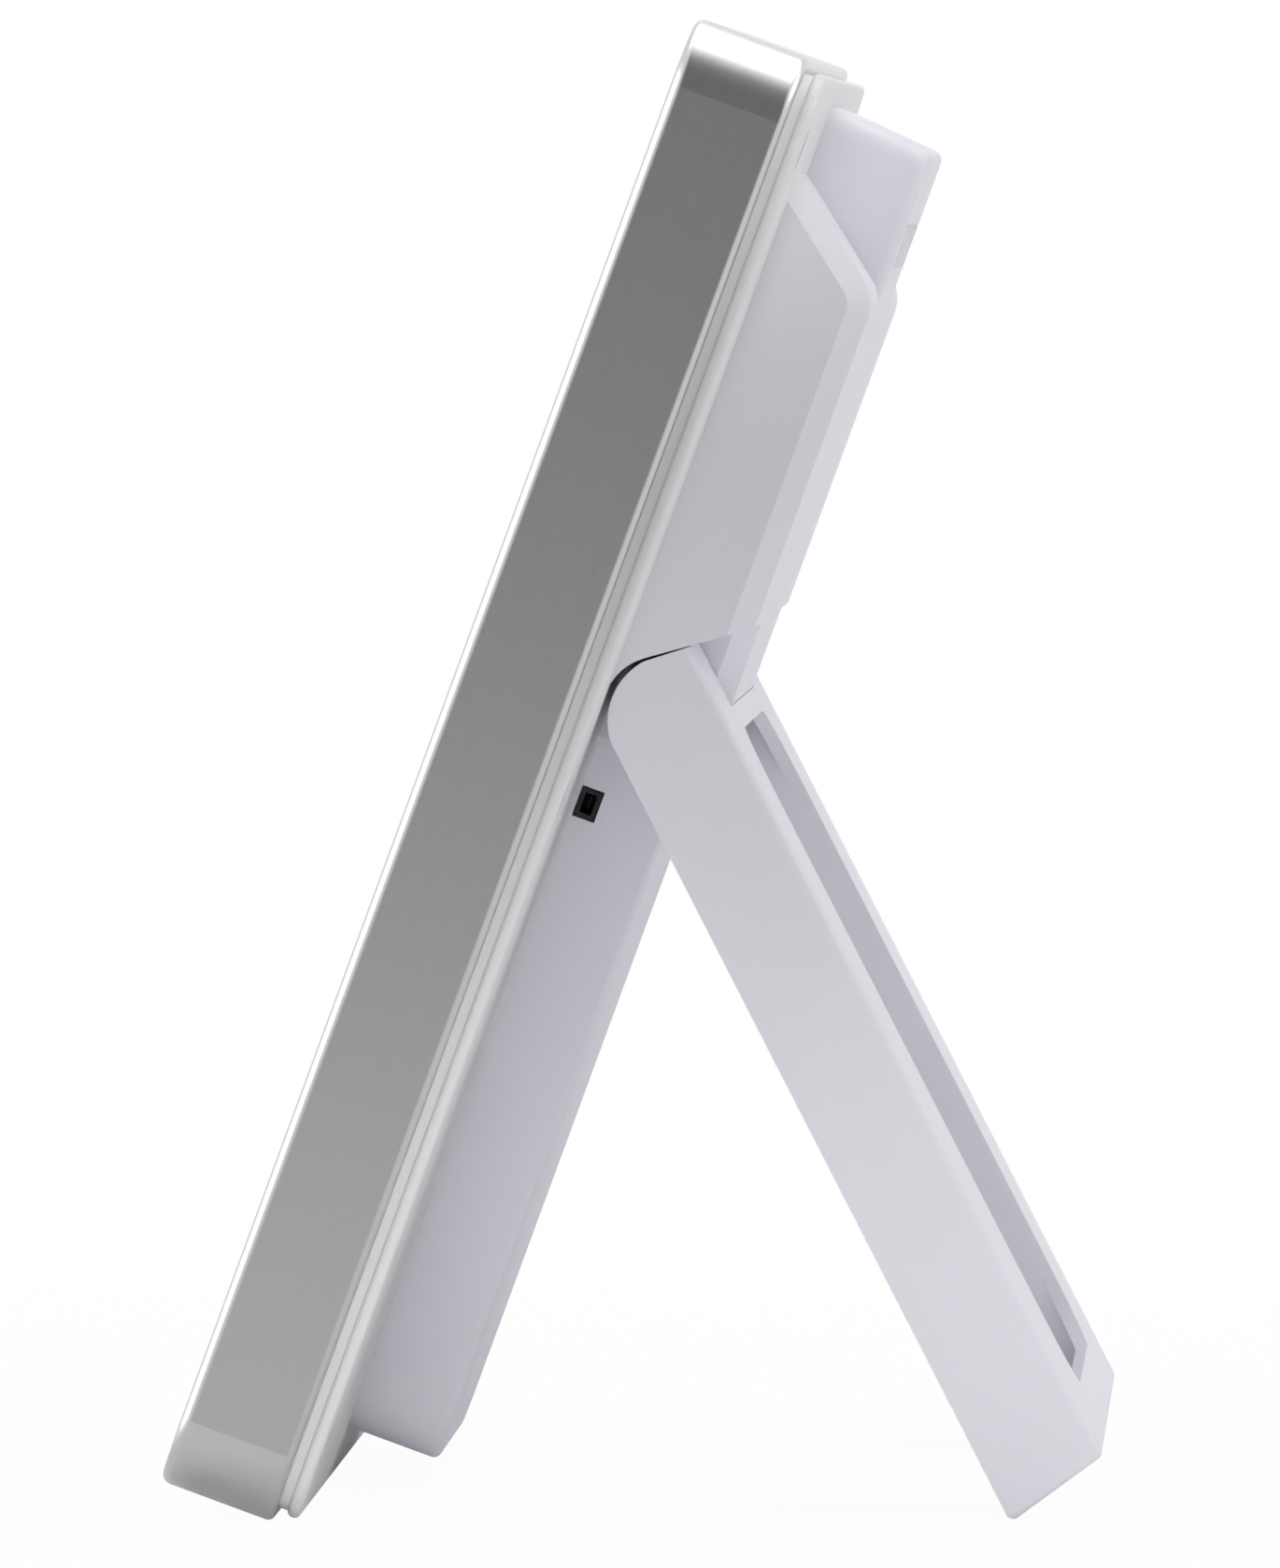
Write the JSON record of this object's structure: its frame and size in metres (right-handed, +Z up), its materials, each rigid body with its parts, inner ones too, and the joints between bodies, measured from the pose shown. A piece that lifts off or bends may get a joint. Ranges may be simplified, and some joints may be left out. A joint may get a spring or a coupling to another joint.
{
  "type": "digital photo frame",
  "caption": "Landscape digital photo frame with a silver bezel, a white stepped rear cover, push buttons and a wide fold-out rear stand.",
  "frame": {"origin": "centre of the bounding box on the table, under the frame standing on its open stand", "axes": "+Z up, +X along the frame's width to the viewer's right when facing the screen, +Y to the back"},
  "size_m": [0.216, 0.1052, 0.1689],
  "materials": {
    "silver": "satin silver paint",
    "white": "fine satin moulded",
    "window": "clear polished",
    "mat": "matt black",
    "display": "dark polished",
    "clear_plastic": "clear polished",
    "sheet_white": "matt white film",
    "steel": "plated",
    "board": "green solder resist",
    "black": "moulded black",
    "can": "drawn can",
    "ferrite": "moulded ferrite",
    "ivory": "moulded ivory",
    "ribbon": "flat film cable",
    "contact": "plated contact",
    "nylon": "plain nylon"
  },
  "bodies": {
    "case": {"front_bezel": "silver", "screen_window": "window", "inner_mat": "mat", "lcd_panel": "display", "lcd_chassis": "steel", "diffuser_sheet": "sheet_white", "light_guide": "clear_plastic", "led_strip": "board", "reflector_sheet": "sheet_white", "lcd_straps": "steel", "strap_screws": "steel", "lcd_driver_board": "board", "lcd_connectors": "ivory", "lcd_ribbon": "ribbon", "main_board": "board", "board_screws": "steel", "main_processor": "black", "memory_chips": "black", "supply_capacitors": "can", "supply_coil": "ferrite", "power_socket": "black", "socket_contact": "black", "card_socket": "steel", "button_board": "board", "button_board_screws": "steel", "tact_switches": "black", "button_connectors": "ivory", "button_cable": "ribbon", "rear_cover": "white", "case_screws": "steel", "hinge_bushes": "contact", "friction_washers": "nylon"},
    "stand": {"stand_shell": "white", "hinge_pins": "steel"},
    "power_button": {"power_button": "white"},
    "back_button": {"back_button": "white"},
    "play_button": {"play_button": "white"},
    "next_button": {"next_button": "white"},
    "menu_button": {"menu_button": "white"}
  },
  "joints": [
    {"name": "stand_fold", "type": "hinge", "parent": "case", "child": "stand", "pos_m": [0, 0.00159, 0.09042], "axis": [-1, 0, 0], "range_deg": [0, 47.3]},
    {"name": "power_button_press", "type": "slide", "parent": "case", "child": "power_button", "axis": [0, -0.943, 0.3329], "range_m": [0, 0.0008], "stiffness_N_per_m": 500},
    {"name": "back_button_press", "type": "slide", "parent": "case", "child": "back_button", "axis": [0, -0.943, 0.3329], "range_m": [0, 0.0008], "stiffness_N_per_m": 500},
    {"name": "play_button_press", "type": "slide", "parent": "case", "child": "play_button", "axis": [0, -0.943, 0.3329], "range_m": [0, 0.0008], "stiffness_N_per_m": 500},
    {"name": "next_button_press", "type": "slide", "parent": "case", "child": "next_button", "axis": [0, -0.943, 0.3329], "range_m": [0, 0.0008], "stiffness_N_per_m": 500},
    {"name": "menu_button_press", "type": "slide", "parent": "case", "child": "menu_button", "axis": [0, -0.943, 0.3329], "range_m": [0, 0.0008], "stiffness_N_per_m": 500}
  ]
}
